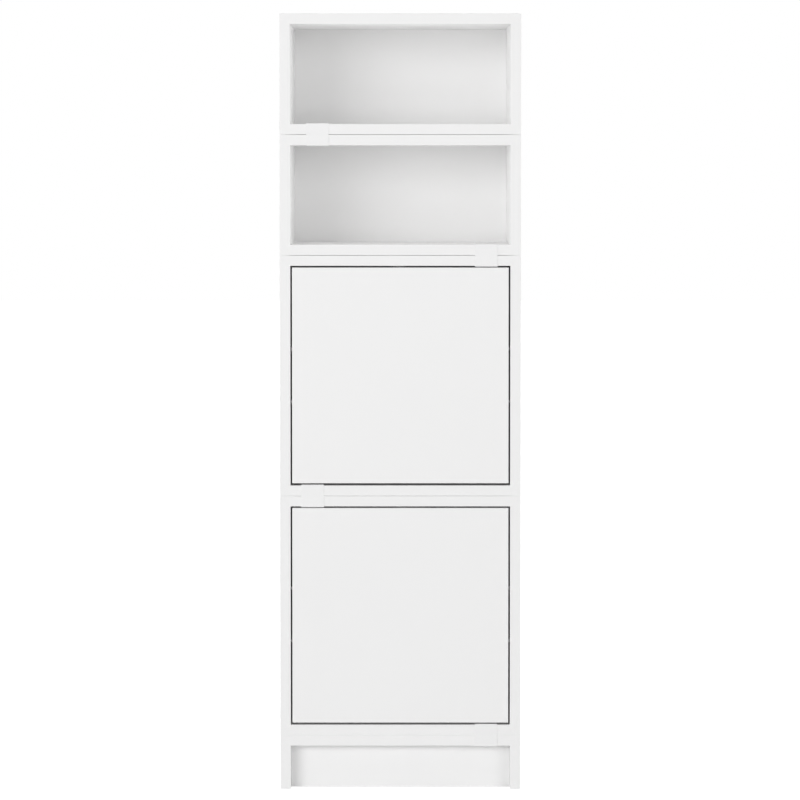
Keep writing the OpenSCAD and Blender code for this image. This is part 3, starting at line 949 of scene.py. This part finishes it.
def build_latch(level):
    node = level + "_latch_body"
    low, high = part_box(node)
    plunger_low, plunger_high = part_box(level + "_latch_plunger")
    axis_z = (plunger_low.z + plunger_high.z) / 2
    barrel = rounded_block(
        "barrel", (-LATCH_BARREL / 2, low.y, low.z), (LATCH_BARREL / 2, high.y, high.z), LATCH_ROUND,
    )
    mouth, bore_end = (0, low.y - DRILL_REACH, axis_z), (0, high.y - LATCH_END_WALL, axis_z)
    barrel = drilled("barrel", barrel, [(mouth, bore_end, PLUNGER_BORE)])
    bm = bmesh.new()
    flange_low = (low.x, low.y + LATCH_FLANGE_SETBACK, high.z - LATCH_FLANGE)
    flange_high = (high.x, high.y - LATCH_FLANGE_SETBACK, high.z)
    edges = block_into(bm, flange_low, flange_high)
    upright = [e for e in edges if abs(e.verts[0].co.z - e.verts[1].co.z) > LATCH_FLANGE / 2]
    round_edges(bm, upright, LATCH_CORNER, LATCH_CORNER_STEPS)
    flange = with_modifiers("flange", to_mesh("flange", bm), SOFT_RIM)
    mesh = joined([barrel, flange], node)
    finish_piece(node + "_moulding", mesh, "cabinet", [node], (moulding,))

    node = level + "_latch_plunger"
    length = plunger_high.y - plunger_low.y
    place = [((0, plunger_high.y, axis_z), (0, -1, 0))]
    radius = (plunger_high.x - plunger_low.x) / 2
    mesh = placed(node, rod_tree, place, moulding, Length=length, Radius=radius, Chamfer=PLUNGER_CHAMFER)
    finish_piece(node + "_rod", mesh, level + "_plunger", [node])


# ---------------------------------------------------------------- flaps and shoe racks

STRIKE_PLAY = 0.0003      # room round the strike disc
STRIKE_SEAT = 0.0002      # and under it
STRIKE_CHAMFER = 0.0003


def build_flap(level):
    body = level + "_flap"
    node = level + "_flap_panel"
    strike = level + "_strike_plate"
    disc_low, disc_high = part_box(strike)
    disc_x, disc_z = (disc_low.x + disc_high.x) / 2, (disc_low.z + disc_high.z) / 2
    disc_radius = (disc_high.x - disc_low.x) / 2
    panel = rounded_block(node, *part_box(node), PANEL_ROUND)
    pocket_floor = (disc_x, disc_low.y - STRIKE_SEAT, disc_z)
    pocket_mouth = (disc_x, disc_high.y + DRILL_REACH, disc_z)
    panel = drilled(node, panel, [(pocket_floor, pocket_mouth, 2 * (disc_radius + STRIKE_PLAY))])
    finish_piece(node + "_board", panel, body, [node], (laminate,))
    disc = placed(
        strike, rod_tree, [((disc_x, disc_low.y, disc_z), (0, 1, 0))], zinc,
        Length=disc_high.y - disc_low.y, Radius=disc_radius, Chamfer=STRIKE_CHAMFER,
    )
    finish_piece(strike + "_disc", disc, body, [strike])

    for part in ("rack_floor", "rack_divider", "rack_rear"):
        node = f"{level}_{part}"
        mesh = rounded_block(node, *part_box(node), RACK_ROUND)
        finish_piece(node + "_board", mesh, body, [node], (inner_laminate,))

    for side in ("left", "right"):
        node = f"{level}_flap_{side}_cheek"
        mesh = with_modifiers(node, welded_copy(node), SOFT_RIM)
        finish_piece(node + "_board", mesh, body, [node], (inner_laminate,))

    node = level + "_pivot_bushes"
    mesh = placed(node, bush_tree, outward_places(node), moulding)
    finish_piece(node + "_moulded", mesh, body, [node])

    node = level + "_flap_brackets"
    angles = []
    for points in solids(node):
        low, high = points.min(0), points.max(0)
        side = 1 if low[0] > 0 else -1
        corner_x, end_x = (high[0], low[0]) if side > 0 else (low[0], high[0])
        outline = angle_outline((corner_x, low[1]), (end_x, high[1]), BRACKET_SHEET, BRACKET_BEND)
        angles.append(extruded("bracket", outline, 2, low[2], high[2], BRACKET_RIM))
    mesh = joined(angles, node)
    finish_piece(node + "_steel", mesh, body, [node], (zinc,))
    build_screws(level + "_rack_and_bracket_screws", level + "_flap_screws", body)


# ---------------------------------------------------------------- stage, lights and camera

FRONT_Y = cad_box[0][1]
CAMERA_DISTANCE = 8.0
EYE_HEIGHT = 1.125
AIM = Vector((-0.0006, FRONT_Y, 0.7103))
VIEW_WIDTH = 1.4483
SENSOR = 36.0
ROOM_LIGHT = 0.385        # what the white surroundings give
PAPER_GLOW = 0.86         # how far the paper floor is lit from below, for the eye alone

# The studio's soft boxes: place, what it faces, width, height and watts
FRONT_LIGHTS = {
    "key": ((-3.45, FRONT_Y - 6.2, 1.6), (0, FRONT_Y, 0.6), 4.0, 2.4, 200.0),
    "right_fill": ((3.6, FRONT_Y - 6.0, 1.35), (0, FRONT_Y, 0.6), 4.0, 2.2, 97.0),
}
REAR_LIGHTS = {           # these light the sides and the back, and leave the floor alone
    "rear_left": ((-4.0, 4.5, 3.0), (0, 0, 0.7), 3.0, 3.0, 130.0),
    "rear_right": ((4.0, 4.5, 3.0), (0, 0, 0.7), 3.0, 3.0, 90.0),
    "right_side": ((6.0, 0.4, 2.5), (0, 0, 0.7), 3.0, 3.0, 65.0),
}
OPENING_WATTS = 0.135     # an unseen sheet of light at each open box's mouth, for its walls alone
OPENING_SHARE = 0.85      # how much of the mouth's width and height the sheet fills
OPENING_INSET = 0.0005    # and how far it stands inside the mouth
LIT_CLIPS = ["middle_seam_clip_steel", "open_seam_clip_steel"]
FLOOR_REACH = 30.0


def look_at(thing, target):
    thing.rotation_euler = (Vector(target) - thing.location).to_track_quat("-Z", "Y").to_euler()


def build_stage():
    """A plain pale floor, far wider than the cabinet."""
    bm = bmesh.new()
    bmesh.ops.create_grid(bm, x_segments=8, y_segments=8, size=FLOOR_REACH)
    floor = bpy.data.objects.new("studio_floor", to_mesh("studio_floor", bm))
    material, s, shader = new_material("studio_paper")
    place = s.node("ShaderNodeTexCoord").outputs["Object"]
    fibres = s.node("ShaderNodeTexNoise", {"Vector": place, "Scale": 3.0, "Detail": 6.0}).outputs[0]
    s.feed(shader.inputs["Base Color"], s.blend(fibres, grey(0.8), grey(0.79)))
    shader.inputs["Roughness"].default_value = 0.9
    shader.inputs["Specular IOR Level"].default_value = 0.1
    shader.inputs["Emission Color"].default_value = (1, 1, 1, 1)
    eye = s.node("ShaderNodeLightPath").outputs["Is Camera Ray"]
    s.feed(shader.inputs["Emission Strength"], s.maths("MULTIPLY", eye, PAPER_GLOW))
    floor.data.materials.append(material)
    scene.collection.objects.link(floor)
    return floor


def add_softbox(name, place, target, width, height, watts):
    light = bpy.data.lights.new(name, "AREA")
    light.shape = "RECTANGLE"
    light.size, light.size_y = width, height
    light.energy = watts
    thing = bpy.data.objects.new(name, light)
    thing.location = place
    look_at(thing, target)
    scene.collection.objects.link(thing)
    return thing


def build_lights(floor):
    world = bpy.data.worlds.new("studio")
    world.use_nodes = True
    s = Sketch(world.node_tree)
    background = world.node_tree.nodes["Background"]
    background.inputs["Color"].default_value = (1, 1, 1, 1)
    eye = s.node("ShaderNodeLightPath").outputs["Is Camera Ray"]
    s.feed(background.inputs["Strength"], s.spread(eye, ROOM_LIGHT, 1.0))
    scene.world = world
    for name, setting in FRONT_LIGHTS.items():
        add_softbox(name, *setting)

    cabinet_only = bpy.data.collections.new("cabinet_only")
    cabinet_only.objects.link(floor)
    cabinet_only.collection_objects[0].light_linking.link_state = "EXCLUDE"
    for name, setting in REAR_LIGHTS.items():
        add_softbox(name, *setting).light_linking.receiver_collection = cabinet_only


def build_opening_lights():
    """The shelf walls are seen almost edge-on, and the lights in front leave them too dark."""
    for box in ("lower_open_box", "upper_open_box"):
        left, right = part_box(box + "_left")[1].x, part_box(box + "_right")[0].x
        floor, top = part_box(box + "_floor")[1].z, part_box(box + "_top")[0].z
        place = Vector(((left + right) / 2, FRONT_Y + OPENING_INSET, (floor + top) / 2))
        width, height = (right - left) * OPENING_SHARE, (top - floor) * OPENING_SHARE
        light = add_softbox(box + "_light", place, place + Vector((0, 1, 0)), width, height, OPENING_WATTS)
        light.visible_camera = False
        light.visible_glossy = False
        walls = bpy.data.collections.new(box + "_walls")
        for name in [f"{box}_{side}_board" for side in OUTWARD] + LIT_CLIPS:
            walls.objects.link(bpy.data.objects[name])
        light.light_linking.receiver_collection = walls


def build_camera():
    camera = bpy.data.cameras.new("camera")
    camera.sensor_width = SENSOR
    thing = bpy.data.objects.new("camera", camera)
    thing.location = (0, FRONT_Y - CAMERA_DISTANCE, EYE_HEIGHT)
    camera.lens = SENSOR * (AIM - thing.location).length / VIEW_WIDTH
    camera.clip_end = 100.0
    look_at(thing, AIM)
    scene.collection.objects.link(thing)
    scene.camera = thing


build_lights(build_stage())
build_camera()
build_boxes()
build_base()
build_glides_and_dowels()
build_clips()
build_opening_lights()
build_wall_bracket()
build_screws("wall_and_latch_screws", "cabinet_screws", "cabinet")
build_pins()
for flap_level in FLAPS:
    build_flap(flap_level)
    build_latch(flap_level)
scene.view_settings.view_transform = "Standard"
